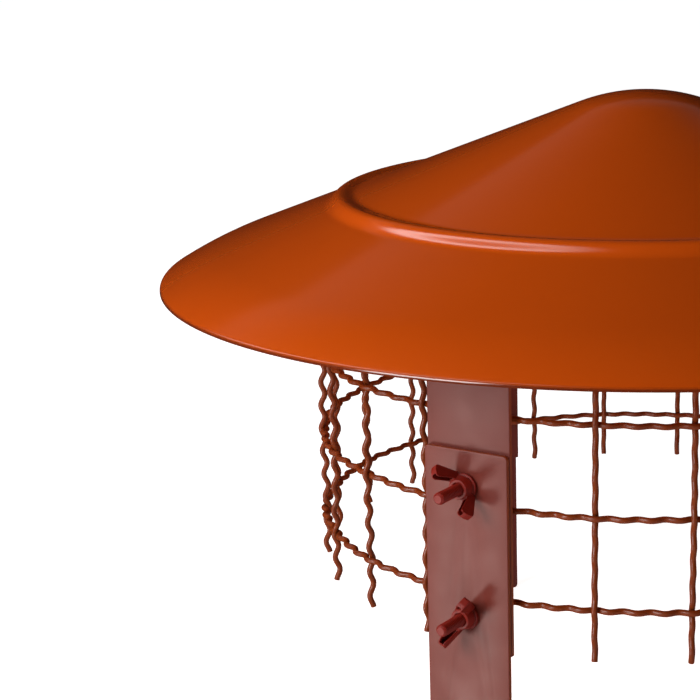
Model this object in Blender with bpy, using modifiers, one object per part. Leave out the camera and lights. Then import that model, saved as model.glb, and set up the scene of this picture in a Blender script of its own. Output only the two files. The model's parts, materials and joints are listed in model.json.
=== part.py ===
# Chimney cowl: a spun hood on a guard of woven wire, with three clamp legs
# Metres, +Z up, origin on the middle of the plane that the three legs stand on
import bpy
import bmesh
from math import atan, cos, hypot, pi, radians, sin, tan
from mathutils import Matrix, Vector

MM = 0.001

# Gap kept between pieces that touch
GAP = 0.3 * MM

# Points closer than this are one point
WELD = 0.001 * MM

# Hood
HOOD_RADIUS = 170.0 * MM
HOOD_SHEET = 1.2 * MM
HOOD_SLOPE = radians(20.75)
HOOD_STEPS = 48
SKIRT_DROOP = 2.6 * MM
DROOP_REACH = 22.0 * MM
LIP_RADIUS = 1.3 * MM
LIP_EDGE = 0.275 * MM
RIB_OUTER_RADIUS = 111.5 * MM
RIB_OUTER_FLANK = 4.7 * MM
RIB_INNER_FLANK = 6.8 * MM
RIB_HEIGHT = 2.5 * MM
CREASE_DROP = 0.7 * MM
DOME_RADIUS = 65.0 * MM

# Height of the lip's edge above the feet
RIM_HEIGHT = 160.0 * MM

# Wire guard
GUARD_RADIUS = 114.3 * MM
WIRE = 2.0 * MM
RING_COUNT = 4
RING_PITCH = 30.0 * MM
TOP_RING_DROP = 17.9 * MM
WIRE_TAIL = 16.7 * MM
UPRIGHT_COUNT = 24
FIRST_UPRIGHT = radians(4.86)
WIRE_BEVEL_RESOLUTION = 1

# Legs and hangers
LEG_COUNT = 3
LEG_WIDTH = 30.0 * MM
LEG_THICKNESS = 1.6 * MM
CORNER_RADIUS = 1.5 * MM
HANGER_THICKNESS = 1.6 * MM
HANGER_FLANGE = 22.0 * MM
HANGER_BEND_RADIUS = 3.0 * MM

# Bolts and wing nuts
BOLT = 4.0 * MM
BOLT_LENGTH = 20.0 * MM
BOLT_CHAMFER = 0.5 * MM
BOLT_SIDES = 12
BOLT_CLEARANCE = 0.3 * MM
HEAD_ACROSS_FLATS = 7.0 * MM
HEAD_THICKNESS = 2.8 * MM
HEAD_CLEARANCE = 0.4 * MM
UPPER_BOLT_RISE = 8.1 * MM
LEG_ABOVE_BOLT = 11.4 * MM
HANGER_BELOW_BOLT = 11.8 * MM
NUT_BASE = 8.0 * MM
NUT_TOP = 6.6 * MM
NUT_HUB = 4.6 * MM
NUT_HEIGHT = 10.5 * MM
NUT_SPAN = 20.0 * MM
WING_THICKNESS = 2.4 * MM
WING_TIP_RADIUS = 2.6 * MM
WING_FOOT = 0.5 * MM
WING_TIP_START = radians(-35)
WING_TIP_SWEEP = radians(190)
# How far the wing nut on each leg is turned
NUT_TURNS = {"upper": [radians(turn) for turn in (131, 40, 152)],
             "lower": [radians(turn) for turn in (62, 118, 84)]}

# What follows from the sizes above: distances from the axis, then heights above the feet
WEAVE = (WIRE + GAP) / 2
GUARD_OUTSIDE = GUARD_RADIUS + WEAVE + WIRE / 2
HANGER_FACE = GUARD_OUTSIDE + GAP
LEG_FACE = HANGER_FACE + HANGER_THICKNESS + GAP
LEG_OUTSIDE = LEG_FACE + LEG_THICKNESS
BOLT_HOLE = BOLT + 2 * BOLT_CLEARANCE
RIM_SLOPE = atan(tan(HOOD_SLOPE) + 2 * SKIRT_DROOP / DROOP_REACH)
LIP_DROP = LIP_EDGE + LIP_RADIUS * tan((pi / 2 - RIM_SLOPE) / 2)


def cone_height(radius):
    """Height of the outer surface of the skirt's cone, carried to any radius as if it never drooped"""
    return RIM_HEIGHT + LIP_DROP + SKIRT_DROOP + (HOOD_RADIUS - radius) * tan(HOOD_SLOPE)


def under_hood(radius):
    """Height of the hood's underside on its plain cone"""
    return cone_height(radius) - HOOD_SHEET / cos(HOOD_SLOPE)


# The rings hang down from the hood, and the bolts pass just clear of the two lowest rings
WIRE_TOP = under_hood(GUARD_OUTSIDE) - GAP
RING_HEIGHTS = [under_hood(GUARD_OUTSIDE) - TOP_RING_DROP - RING_PITCH * ring for ring in range(RING_COUNT)]
WIRE_BOTTOM = RING_HEIGHTS[-1] - WIRE_TAIL
UPPER_BOLT = RING_HEIGHTS[-2] + UPPER_BOLT_RISE
LOWER_BOLT = RING_HEIGHTS[-1] - WIRE / 2 - HEAD_CLEARANCE - HEAD_ACROSS_FLATS / 2
LEG_HEIGHT = UPPER_BOLT + LEG_ABOVE_BOLT
HANGER_BOTTOM = LOWER_BOLT - HANGER_BELOW_BOLT


def clear_objects():
    for obj in list(bpy.data.objects):
        bpy.data.objects.remove(obj, do_unlink=True)


def new_collection(name):
    collection = bpy.data.collections.new(name)
    bpy.context.scene.collection.children.link(collection)
    return collection


def coat(name, color, roughness, metallic=0.0):
    """A painted finish"""
    material = bpy.data.materials.new(name)
    material.use_nodes = True
    shader = material.node_tree.nodes["Principled BSDF"]
    shader.inputs["Base Color"].default_value = (*color, 1.0)
    shader.inputs["Roughness"].default_value = roughness
    shader.inputs["Metallic"].default_value = metallic
    material.diffuse_color = (*color, 1.0)
    return material


def add_object(name, data, collection, material=None):
    obj = bpy.data.objects.new(name, data)
    collection.objects.link(obj)
    if material is not None:
        data.materials.append(material)
    return obj


def baked_mesh(obj, name):
    """The evaluated shape of an object as a plain mesh, its loose caps welded"""
    graph = bpy.context.evaluated_depsgraph_get()
    graph.update()
    mesh = bpy.data.meshes.new_from_object(obj.evaluated_get(graph))
    mesh.name = name
    bm = bmesh.new()
    bm.from_mesh(mesh)
    bmesh.ops.remove_doubles(bm, verts=bm.verts, dist=WELD)
    bm.to_mesh(mesh)
    bm.free()
    return mesh


def shade_round(mesh, angle=radians(35)):
    mesh.shade_smooth()
    mesh.set_sharp_from_angle(angle=angle)


def hood_profile():
    """Outer outline from the top of the dome down to the edge of the lip, as (radius, height)"""
    crown = RIB_OUTER_RADIUS - RIB_OUTER_FLANK
    crease = crown - RIB_INNER_FLANK
    crease_height = cone_height(crease) - CREASE_DROP
    dome_edge = DOME_RADIUS * sin(HOOD_SLOPE)
    dome_edge_height = crease_height + (crease - dome_edge) * tan(HOOD_SLOPE)
    dome_centre = dome_edge_height - DOME_RADIUS * cos(HOOD_SLOPE)
    dome_steps = 4
    points = [(DOME_RADIUS * sin(HOOD_SLOPE * i / dome_steps),
               dome_centre + DOME_RADIUS * cos(HOOD_SLOPE * i / dome_steps))
              for i in range(dome_steps + 1)]
    # The rib is a soft swell: a long inner flank, then a shorter and steeper outer one
    flank_steps = 3
    for i in range(-flank_steps, flank_steps + 1):
        share = i / flank_steps
        radius = crown + share * (RIB_OUTER_FLANK if i > 0 else RIB_INNER_FLANK)
        sunk = CREASE_DROP * (RIB_OUTER_RADIUS - radius) / (RIB_OUTER_RADIUS - crease)
        points.append((radius, cone_height(radius) - sunk + RIB_HEIGHT * (1 + cos(pi * share)) / 2))
    droop_start = HOOD_RADIUS - DROOP_REACH
    for share in (0.0, 0.5):
        radius = droop_start + DROOP_REACH * share
        points.append((radius, cone_height(radius) - SKIRT_DROOP * share ** 2))
    # The lip is an arc between the skirt's slope and a plumb edge
    lip_centre = Vector((HOOD_RADIUS - LIP_RADIUS, RIM_HEIGHT + LIP_EDGE))
    lip_steps = 2
    for i in range(lip_steps + 1):
        angle = (pi / 2 - RIM_SLOPE) * (1 - i / lip_steps)
        points.append((lip_centre.x + LIP_RADIUS * cos(angle), lip_centre.y + LIP_RADIUS * sin(angle)))
    points.append((HOOD_RADIUS, RIM_HEIGHT))
    return points


def turned(name, profile, steps, collection):
    """An object turned about Z from an outline that runs down its outer side"""
    mesh = bpy.data.meshes.new(name)
    mesh.from_pydata([(radius, 0.0, height) for radius, height in profile],
                     [(i, i + 1) for i in range(len(profile) - 1)], [])
    obj = add_object(name, mesh, collection)
    screw = obj.modifiers.new("Turn", 'SCREW')
    screw.steps = steps
    screw.render_steps = steps
    screw.use_merge_vertices = True
    screw.merge_threshold = WELD
    screw.use_smooth_shade = True
    return obj


def build_hood(collection, material):
    """The spun sheet: its outer face turned, then the wall given inwards"""
    hood = turned("hood", hood_profile(), HOOD_STEPS, collection)
    hood.data.materials.append(material)
    wall = hood.modifiers.new("Sheet", 'SOLIDIFY')
    wall.thickness = HOOD_SHEET
    wall.offset = -1.0
    wall.use_even_offset = True


def wire_mesh(name, points, cyclic):
    """A wire of few sides along a row of points"""
    curve = bpy.data.curves.new(name, 'CURVE')
    curve.dimensions = '3D'
    curve.bevel_depth = WIRE / 2
    curve.bevel_resolution = WIRE_BEVEL_RESOLUTION
    curve.use_fill_caps = not cyclic
    spline = curve.splines.new('POLY')
    spline.points.add(len(points) - 1)
    for point, place in zip(spline.points, points):
        point.co = (*place, 1.0)
    spline.use_cyclic_u = cyclic
    guide = bpy.data.objects.new(name + "_path", curve)
    bpy.context.scene.collection.objects.link(guide)
    mesh = baked_mesh(guide, name)
    bpy.data.objects.remove(guide, do_unlink=True)
    bpy.data.curves.remove(curve)
    shade_round(mesh, radians(70))
    return mesh


def upright_angle(number):
    return -pi / 2 + FIRST_UPRIGHT + 2 * pi * number / UPRIGHT_COUNT


def on_guard(angle, height, offset=0.0):
    radius = GUARD_RADIUS + offset
    return (radius * cos(angle), radius * sin(angle), height)


def build_uprights(collection, material):
    """Upright wires pass in turn outside and inside the rings and end under the hood"""
    for number in range(UPRIGHT_COUNT):
        angle = upright_angle(number)
        points = [on_guard(angle, WIRE_TOP)]
        for ring, height in enumerate(RING_HEIGHTS):
            side = -1 if (number + ring) % 2 else 1
            points.append(on_guard(angle, height, side * WEAVE))
        points.append(on_guard(angle, WIRE_BOTTOM))
        name = f"upright_wire_{number + 1:02d}"
        add_object(name, wire_mesh(name, points, False), collection, material)


def build_rings(collection, material):
    """Ring wires weave the other way, level with each row of crossings"""
    half_pitch = pi / UPRIGHT_COUNT
    for ring, height in enumerate(RING_HEIGHTS):
        points = []
        for number in range(UPRIGHT_COUNT):
            side = 1 if (number + ring) % 2 else -1
            points.append(on_guard(upright_angle(number), height, side * WEAVE))
            points.append(on_guard(upright_angle(number) + half_pitch, height))
        name = f"ring_wire_{ring + 1}"
        add_object(name, wire_mesh(name, points, True), collection, material)


def leg_frame(number):
    """Turns a piece drawn facing -Y to its own leg"""
    return Matrix.Rotation(2 * pi * number / LEG_COUNT, 4, 'Z')


def hole_cutter(name, collection):
    """Drills for the two bolts of the leg that faces -Y, well past both of its faces"""
    length = 6 * (HANGER_THICKNESS + LEG_THICKNESS)
    mesh = bpy.data.meshes.new(name)
    bm = bmesh.new()
    for height in (UPPER_BOLT, LOWER_BOLT):
        place = Matrix.Translation((0, -LEG_FACE, height)) @ Matrix.Rotation(pi / 2, 4, 'X')
        bmesh.ops.create_cone(bm, cap_ends=True, segments=BOLT_SIDES, radius1=BOLT_HOLE / 2,
                              radius2=BOLT_HOLE / 2, depth=length, matrix=place)
    bm.to_mesh(mesh)
    bm.free()
    cutter = add_object(name, mesh, collection)
    cutter.hide_render = True
    cutter.display_type = 'WIRE'
    return cutter


def drill(obj, cutter):
    cut = obj.modifiers.new("Bolt holes", 'BOOLEAN')
    cut.operation = 'DIFFERENCE'
    cut.solver = 'EXACT'
    cut.object = cutter


def finished(obj, name, material):
    """The object's evaluated mesh, and the object it came from removed"""
    mesh = baked_mesh(obj, name)
    mesh.materials.clear()
    mesh.materials.append(material)
    bpy.data.objects.remove(obj, do_unlink=True)
    return mesh


def hanger_path():
    """Middle line of a hanger in the YZ plane, from its free end up and out under the hood"""
    middle = HANGER_FACE + HANGER_THICKNESS / 2
    bend = HANGER_BEND_RADIUS + HANGER_THICKNESS / 2
    turn = pi / 2 + HOOD_SLOPE
    # The flange is flat, so its corners set how close it comes to the round underside
    drop = (GAP + HANGER_THICKNESS / 2) / cos(HOOD_SLOPE)
    corner = under_hood(hypot(middle, LEG_WIDTH / 2)) - drop
    tangent = bend * tan(turn / 2)
    points = [(middle, HANGER_BOTTOM)]
    centre = Vector((middle + bend, corner - tangent))
    bend_steps = 6
    for i in range(bend_steps + 1):
        angle = pi - turn * i / bend_steps
        points.append((centre.x + bend * cos(angle), centre.y + bend * sin(angle)))
    points.append((middle + HANGER_FLANGE * cos(HOOD_SLOPE), corner - HANGER_FLANGE * sin(HOOD_SLOPE)))
    return points


def build_hangers(collection, cutters, material):
    """A bent strip: its middle line drawn out to its width, thickened and drilled"""
    path = hanger_path()
    mesh = bpy.data.meshes.new("hanger_strip")
    mesh.from_pydata([(-LEG_WIDTH / 2, -radius, height) for radius, height in path],
                     [(i, i + 1) for i in range(len(path) - 1)], [])
    bm = bmesh.new()
    bm.from_mesh(mesh)
    drawn = bmesh.ops.extrude_edge_only(bm, edges=bm.edges)
    moved = [item for item in drawn["geom"] if isinstance(item, bmesh.types.BMVert)]
    bmesh.ops.translate(bm, verts=moved, vec=(LEG_WIDTH, 0, 0))
    bm.to_mesh(mesh)
    bm.free()
    strip = add_object("hanger_strip", mesh, collection)
    thick = strip.modifiers.new("Thickness", 'SOLIDIFY')
    thick.thickness = HANGER_THICKNESS
    thick.offset = 0.0
    thick.use_even_offset = True
    drill(strip, hole_cutter("hanger_drill", cutters))
    shared = finished(strip, "hanger", material)
    for number in range(LEG_COUNT):
        hanger = add_object(f"hanger_{number + 1}", shared.copy(), collection)
        hanger.matrix_world = leg_frame(number)


def leg_outline():
    """Rounded rectangle of a leg, in X and Z"""
    corners = ((1, LEG_HEIGHT, 0), (-1, LEG_HEIGHT, 90), (-1, 0, 180), (1, 0, 270))
    points = []
    steps = 3
    for side, height, start in corners:
        centre_x = side * (LEG_WIDTH / 2 - CORNER_RADIUS)
        centre_z = height - CORNER_RADIUS if height else CORNER_RADIUS
        for i in range(steps + 1):
            angle = radians(start + 90 * i / steps)
            points.append((centre_x + CORNER_RADIUS * cos(angle), centre_z + CORNER_RADIUS * sin(angle)))
    return points


def flat_plate(name, outline, thickness):
    """A plate of even thickness on the XY plane from its outline, as a closed mesh"""
    curve = bpy.data.curves.new(name, 'CURVE')
    curve.dimensions = '2D'
    curve.fill_mode = 'BOTH'
    curve.extrude = thickness / 2
    spline = curve.splines.new('POLY')
    spline.points.add(len(outline) - 1)
    for point, (x, y) in zip(spline.points, outline):
        point.co = (x, y, 0.0, 1.0)
    spline.use_cyclic_u = True
    blank = bpy.data.objects.new(name, curve)
    bpy.context.scene.collection.objects.link(blank)
    mesh = baked_mesh(blank, name)
    bpy.data.objects.remove(blank, do_unlink=True)
    bpy.data.curves.remove(curve)
    # Stands the plate up, so that the outline's second direction is Z
    mesh.transform(Matrix.Rotation(pi / 2, 4, 'X'))
    return mesh


def build_legs(collection, cutters, material):
    mesh = flat_plate("leg_plate", leg_outline(), LEG_THICKNESS)
    mesh.transform(Matrix.Translation((0, -LEG_FACE - LEG_THICKNESS / 2, 0)))
    plate = add_object("leg_plate", mesh, collection)
    drill(plate, hole_cutter("leg_drill", cutters))
    shared = finished(plate, "leg", material)
    for number in range(LEG_COUNT):
        leg = add_object(f"clamp_leg_{number + 1}", shared.copy(), collection)
        leg.matrix_world = leg_frame(number)


def prism(name, sides, low_radius, high_radius, low, high):
    """A closed prism or cone along Z between two heights"""
    mesh = bpy.data.meshes.new(name)
    bm = bmesh.new()
    bmesh.ops.create_cone(bm, cap_ends=True, segments=sides, radius1=low_radius, radius2=high_radius,
                          depth=high - low, matrix=Matrix.Translation((0, 0, (low + high) / 2)))
    bm.to_mesh(mesh)
    bm.free()
    return add_object(name, mesh, bpy.context.scene.collection)


def combined(name, base, added, removed, material):
    """One closed mesh: the base with the added objects joined to it and the removed ones cut out"""
    for operation, tools in (('UNION', added), ('DIFFERENCE', removed)):
        for tool in tools:
            step = base.modifiers.new(operation.title(), 'BOOLEAN')
            step.operation = operation
            step.solver = 'EXACT'
            step.object = tool
    mesh = finished(base, name, material)
    for tool in added + removed:
        bpy.data.objects.remove(tool, do_unlink=True)
    return mesh


def bolt_mesh(material):
    """A hexagon head and a plain shank along +Z, with the head's bearing face at z = 0"""
    across_corners = HEAD_ACROSS_FLATS / cos(pi / 6)
    head = prism("bolt_head", 6, across_corners / 2, across_corners / 2, -HEAD_THICKNESS, 0.0)
    shank = turned("bolt_shank", [(0.0, BOLT_LENGTH), (BOLT / 2 - BOLT_CHAMFER, BOLT_LENGTH),
                                  (BOLT / 2, BOLT_LENGTH - BOLT_CHAMFER), (BOLT / 2, -HEAD_THICKNESS / 2),
                                  (0.0, -HEAD_THICKNESS / 2)], BOLT_SIDES, bpy.context.scene.collection)
    return combined("bolt", head, [shank], [], material)


def wing_outline():
    """One wing seen from its flat side: out from the hub and up to a round tip"""
    root = NUT_TOP / 2 - WING_THICKNESS / 2
    tip = Vector((NUT_SPAN / 2 - WING_TIP_RADIUS, NUT_HEIGHT - WING_TIP_RADIUS))
    points = [(root, WING_FOOT), (NUT_BASE / 2, WING_FOOT)]
    steps = 6
    for i in range(steps + 1):
        angle = WING_TIP_START + WING_TIP_SWEEP * i / steps
        points.append((tip.x + WING_TIP_RADIUS * cos(angle), tip.y + WING_TIP_RADIUS * sin(angle)))
    points.append((root, NUT_HUB - WING_FOOT))
    return points


def nut_mesh(material):
    """A wing nut along +Z, standing on z = 0"""
    hub = prism("nut_hub", BOLT_SIDES, NUT_BASE / 2, NUT_TOP / 2, 0.0, NUT_HUB)
    wings = []
    for side in (0, 1):
        wing = flat_plate(f"wing_{side}", wing_outline(), WING_THICKNESS)
        wing.transform(Matrix.Rotation(pi * side, 4, 'Z'))
        wings.append(add_object(f"wing_{side}", wing, bpy.context.scene.collection))
    bore = prism("nut_bore", BOLT_SIDES, BOLT_HOLE / 2, BOLT_HOLE / 2, -NUT_HEIGHT, 2 * NUT_HEIGHT)
    return combined("wing_nut", hub, wings, [bore], material)


def build_fasteners(collection, bolt_coat, nut_coat):
    bolt = bolt_mesh(bolt_coat)
    nut = nut_mesh(nut_coat)
    outwards = Matrix.Rotation(pi / 2, 4, 'X')
    for number in range(LEG_COUNT):
        for place, height in (("upper", UPPER_BOLT), ("lower", LOWER_BOLT)):
            label = f"{number + 1}_{place}"
            bolt_seat = Matrix.Translation((0, GAP - HANGER_FACE, height))
            nut_seat = Matrix.Translation((0, -LEG_OUTSIDE - GAP, height))
            turn = Matrix.Rotation(NUT_TURNS[place][number], 4, 'Z')
            screw = add_object(f"bolt_{label}", bolt.copy(), collection)
            screw.matrix_world = leg_frame(number) @ bolt_seat @ outwards
            wings = add_object(f"wing_nut_{label}", nut.copy(), collection)
            wings.matrix_world = leg_frame(number) @ nut_seat @ outwards @ turn


def main():
    clear_objects()
    parts = new_collection("chimney_cowl")
    cutters = new_collection("cutters")
    hood_coat = coat("hood_coat", (0.42, 0.058, 0.004), 0.22)
    wire_coat = coat("wire_coat", (0.20, 0.035, 0.008), 0.35)
    leg_coat = coat("leg_coat", (0.30, 0.11, 0.09), 0.45)
    bolt_coat = coat("bolt_coat", (0.16, 0.014, 0.006), 0.35)
    nut_coat = coat("nut_coat", (0.17, 0.016, 0.007), 0.38)
    build_hood(parts, hood_coat)
    build_uprights(parts, wire_coat)
    build_rings(parts, wire_coat)
    build_hangers(parts, cutters, leg_coat)
    build_legs(parts, cutters, leg_coat)
    build_fasteners(parts, bolt_coat, nut_coat)


main()
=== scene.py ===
# %% [markdown]
# # A painted steel chimney cowl
#
# The cowl is a round spun hood on a cage of crimped, woven wire. Three flat legs reach down
# from it and are held by bolts and wing nuts. A frame of exact solids is already packed, and
# this file dresses it: each plain solid is replaced by a finely made piece in the same place,
# and each finish gets its own procedural material. Everything is in metres, with Z up.

import json
from math import atan, cos, pi, radians, sin, tan

import bmesh
import bpy
from mathutils import Matrix, Vector

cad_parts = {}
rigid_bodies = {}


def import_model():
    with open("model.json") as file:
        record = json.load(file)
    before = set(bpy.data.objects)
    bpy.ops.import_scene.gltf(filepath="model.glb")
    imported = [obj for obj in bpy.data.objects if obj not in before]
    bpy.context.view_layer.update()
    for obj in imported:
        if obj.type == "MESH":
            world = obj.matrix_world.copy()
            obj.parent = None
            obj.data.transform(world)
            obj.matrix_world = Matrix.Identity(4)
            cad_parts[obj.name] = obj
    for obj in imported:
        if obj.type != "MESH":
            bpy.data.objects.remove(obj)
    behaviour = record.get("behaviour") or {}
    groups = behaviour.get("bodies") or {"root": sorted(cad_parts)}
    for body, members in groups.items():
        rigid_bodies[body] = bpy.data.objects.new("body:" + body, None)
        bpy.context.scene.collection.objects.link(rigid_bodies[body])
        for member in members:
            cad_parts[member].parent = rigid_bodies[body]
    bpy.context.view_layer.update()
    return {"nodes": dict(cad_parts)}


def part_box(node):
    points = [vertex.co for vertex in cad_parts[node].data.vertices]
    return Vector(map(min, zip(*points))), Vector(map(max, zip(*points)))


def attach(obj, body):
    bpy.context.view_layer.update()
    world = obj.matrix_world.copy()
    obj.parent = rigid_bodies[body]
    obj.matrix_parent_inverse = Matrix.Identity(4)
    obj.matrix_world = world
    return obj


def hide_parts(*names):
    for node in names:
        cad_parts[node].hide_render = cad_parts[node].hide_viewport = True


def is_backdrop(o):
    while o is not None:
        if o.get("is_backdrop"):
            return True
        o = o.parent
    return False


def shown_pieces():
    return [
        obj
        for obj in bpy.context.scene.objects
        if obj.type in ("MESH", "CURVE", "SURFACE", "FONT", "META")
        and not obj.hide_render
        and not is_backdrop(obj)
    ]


for leftover in list(bpy.data.objects):
    bpy.data.objects.remove(leftover, do_unlink=True)
bpy.context.scene.view_settings.view_transform = 'Standard'
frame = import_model()
MM = 0.001

# %% [markdown]
# ## Sizes taken from the frame
#
# The frame's boxes say where each piece is, so most sizes are read from them rather than typed
# again. What the boxes don't tell, such as the spacing of the uprights, is named here once.

# %% Read the main sizes
hood_low, hood_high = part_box("hood")
leg_low, leg_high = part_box("clamp_leg_1")
hanger_low, hanger_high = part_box("hanger_1")
ring_boxes = [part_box(f"ring_wire_{ring + 1}") for ring in range(4)]
upright_low, upright_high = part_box("upright_wire_01")

HOOD_RADIUS = hood_high.x
RIM_HEIGHT = hood_low.z
CONE_ANGLE = radians(20.75)
WIRE = 2.0 * MM
WEAVE = 1.03 * MM
GUARD_RADIUS = 114.3 * MM
RING_HEIGHTS = [(low.z + high.z) / 2 for low, high in ring_boxes]
RING_COUNT = len(RING_HEIGHTS)
RING_PITCH = (RING_HEIGHTS[0] - RING_HEIGHTS[-1]) / (RING_COUNT - 1)
UPRIGHT_COUNT = 24
FIRST_UPRIGHT = -pi / 2 + radians(4.86)
LEG_COUNT = 3
GAP = 0.3 * MM
print(f"hood radius {HOOD_RADIUS / MM:.1f} mm, rim {RIM_HEIGHT / MM:.1f} mm up, "
      f"rings {[round(height / MM, 1) for height in RING_HEIGHTS]} mm up")

# %% [markdown]
# ## Small helpers
#
# New pieces are linked to the scene, given one material, and left at the origin with their
# place in their mesh. A helper that gives the evaluated shape as a plain mesh is used wherever
# a modifier, a curve or Geometry Nodes made the piece.

# %% Helpers for objects
def link_object(name, data, material=None):
    obj = bpy.data.objects.new(name, data)
    bpy.context.scene.collection.objects.link(obj)
    if material is not None:
        data.materials.clear()
        data.materials.append(material)
    return obj


def plain_mesh(obj, name):
    """The evaluated shape of an object as a plain mesh; the object itself is removed"""
    graph = bpy.context.evaluated_depsgraph_get()
    graph.update()
    mesh = bpy.data.meshes.new_from_object(obj.evaluated_get(graph))
    mesh.name = name
    bpy.data.objects.remove(obj, do_unlink=True)
    return mesh


def weld(mesh, distance=0.001 * MM):
    """Joins points that lie on each other and turns all faces outwards"""
    bm = bmesh.new()
    bm.from_mesh(mesh)
    bmesh.ops.remove_doubles(bm, verts=bm.verts, dist=distance)
    bmesh.ops.recalc_face_normals(bm, faces=bm.faces)
    bm.to_mesh(mesh)
    bm.free()
    return mesh


def smooth(mesh, angle):
    """Smooth shading, but for edges sharper than the angle in degrees"""
    mesh.shade_smooth()
    mesh.set_sharp_from_angle(angle=radians(angle))
    return mesh


def solid(name, build):
    """An object whose mesh is drawn by the function build"""
    bm = bmesh.new()
    build(bm)
    bmesh.ops.recalc_face_normals(bm, faces=bm.faces)
    mesh = bpy.data.meshes.new(name)
    bm.to_mesh(mesh)
    bm.free()
    return link_object(name, mesh)


def cylinder(low_radius, high_radius, low, high, sides=48):
    """A function for solid() that draws a cylinder or cone about Z, with sizes in millimetres"""
    return lambda bm: bmesh.ops.create_cone(
        bm, cap_ends=True, segments=sides, radius1=low_radius * MM, radius2=high_radius * MM,
        depth=(high - low) * MM, matrix=Matrix.Translation((0, 0, (low + high) / 2 * MM)))


def dress(obj, slot, *nodes):
    """Lets a finished piece ride on the frame and stand for its plain solids"""
    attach(obj, "root")
    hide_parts(*nodes)
    obj.data.calc_loop_triangles()
    print(f"{obj.name}: {len(obj.data.loop_triangles)} triangles, stands for {len(nodes)} nodes")


# %% [markdown]
# Shader trees and Geometry Nodes trees are both made of nodes whose sockets hold a value or a
# link. One helper therefore serves both: it adds a node and fills its sockets.

# %% Helpers for nodes
def joined(tree, kind, sockets=None, **settings):
    """A new node; sockets gives, by index or name, either a value or the output that feeds it"""
    node = tree.nodes.new(kind)
    for key, value in settings.items():
        setattr(node, key, value)
    for key, value in (sockets or {}).items():
        if isinstance(value, bpy.types.NodeSocket):
            tree.links.new(value, node.inputs[key])
        else:
            node.inputs[key].default_value = value
    return node


def calc(tree, operation, first, second=0.0, third=0.0):
    """The output of one Math node"""
    return joined(tree, "ShaderNodeMath", {0: first, 1: second, 2: third},
                  operation=operation).outputs[0]


def ramp(tree, value, start, end, low=0.0, high=1.0, **settings):
    """Goes from low to high while the value goes from start to end, and stays there"""
    return joined(tree, "ShaderNodeMapRange",
                  {"Value": value, "From Min": start, "From Max": end, "To Min": low,
                   "To Max": high}, **settings).outputs["Result"]


def blended(tree, share, first, second):
    """Goes from the first colour to the second while the share goes from 0 to 1"""
    return joined(tree, "ShaderNodeMix", {"Factor": share, "A": first, "B": second},
                  data_type='RGBA').outputs["Result"]


# %% [markdown]
# ## Powder coats
#
# A material here is a Principled shader with noise behind its colour, roughness and bump.
# Powder coat is never quite flat: it has a fine orange-peel skin, and its colour drifts a
# little where the film is thicker. One helper builds that, and each finish gives its own
# numbers. The noise reads Object coordinates, so it stays fixed on the piece from any side.
# The hood's rim is darkened as painted shade, the bars' cut edges lightened as a painted highlight.

# %% A helper for powder coats
def powder_coat(name, color, drift_color, roughness, peel, peel_size, patch_size,
                specular=0.5, edge=None, painted_edge_shading=None):
    """roughness is its lowest and highest; edge says where painted light and shade take over"""
    material = bpy.data.materials.new(name)
    material.use_nodes = True
    tree = material.node_tree
    shader = tree.nodes["Principled BSDF"]
    shader.inputs["Specular IOR Level"].default_value = specular
    place = joined(tree, "ShaderNodeTexCoord")
    patches = joined(tree, "ShaderNodeTexNoise",
                     {"Vector": place.outputs["Object"], "Scale": 1 / patch_size, "Detail": 3})
    tint = blended(tree, patches.outputs["Fac"], (*color, 1), (*drift_color, 1))
    if edge:
        tint = blended(tree, edge(tree, place), tint, (*painted_edge_shading, 1))
    skin = joined(tree, "ShaderNodeTexNoise",
                  {"Vector": place.outputs["Object"], "Scale": 1 / peel_size, "Detail": 2})
    bump = joined(tree, "ShaderNodeBump",
                  {"Strength": 1.0, "Distance": peel, "Height": skin.outputs["Fac"]})
    tree.links.new(tint, shader.inputs["Base Color"])
    tree.links.new(ramp(tree, patches.outputs["Fac"], 0.3, 0.7, *roughness),
                   shader.inputs["Roughness"])
    tree.links.new(bump.outputs["Normal"], shader.inputs["Normal"])
    material.diffuse_color = (*color, 1)
    return material


def painted_lip_shade(tree, place):
    """Painted shade on the lip: 1 on the last millimetre above the rim, 0 higher up"""
    height = joined(tree, "ShaderNodeSeparateXYZ", {0: place.outputs["Object"]}).outputs["Z"]
    return ramp(tree, height, RIM_HEIGHT + 0.6 * MM, RIM_HEIGHT + 1.5 * MM, 1.0, 0.0)


def painted_bar_edge_light(tree, place):
    """Painted highlight on a flat bar round the axis: 1 on its cut edges, 0 on its two broad faces
    """
    flat = joined(tree, "ShaderNodeVectorMath", {0: place.outputs["Object"], 1: (1, 1, 0)},
                  operation='MULTIPLY')
    outwards = joined(tree, "ShaderNodeVectorMath", {0: flat.outputs[0]}, operation='NORMALIZE')
    along = joined(tree, "ShaderNodeVectorMath",
                   {0: outwards.outputs[0], 1: place.outputs["Normal"]}, operation='DOT_PRODUCT')
    return ramp(tree, calc(tree, 'ABSOLUTE', along.outputs["Value"]), 0.4, 0.8, 1.0, 0.0)
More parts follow.
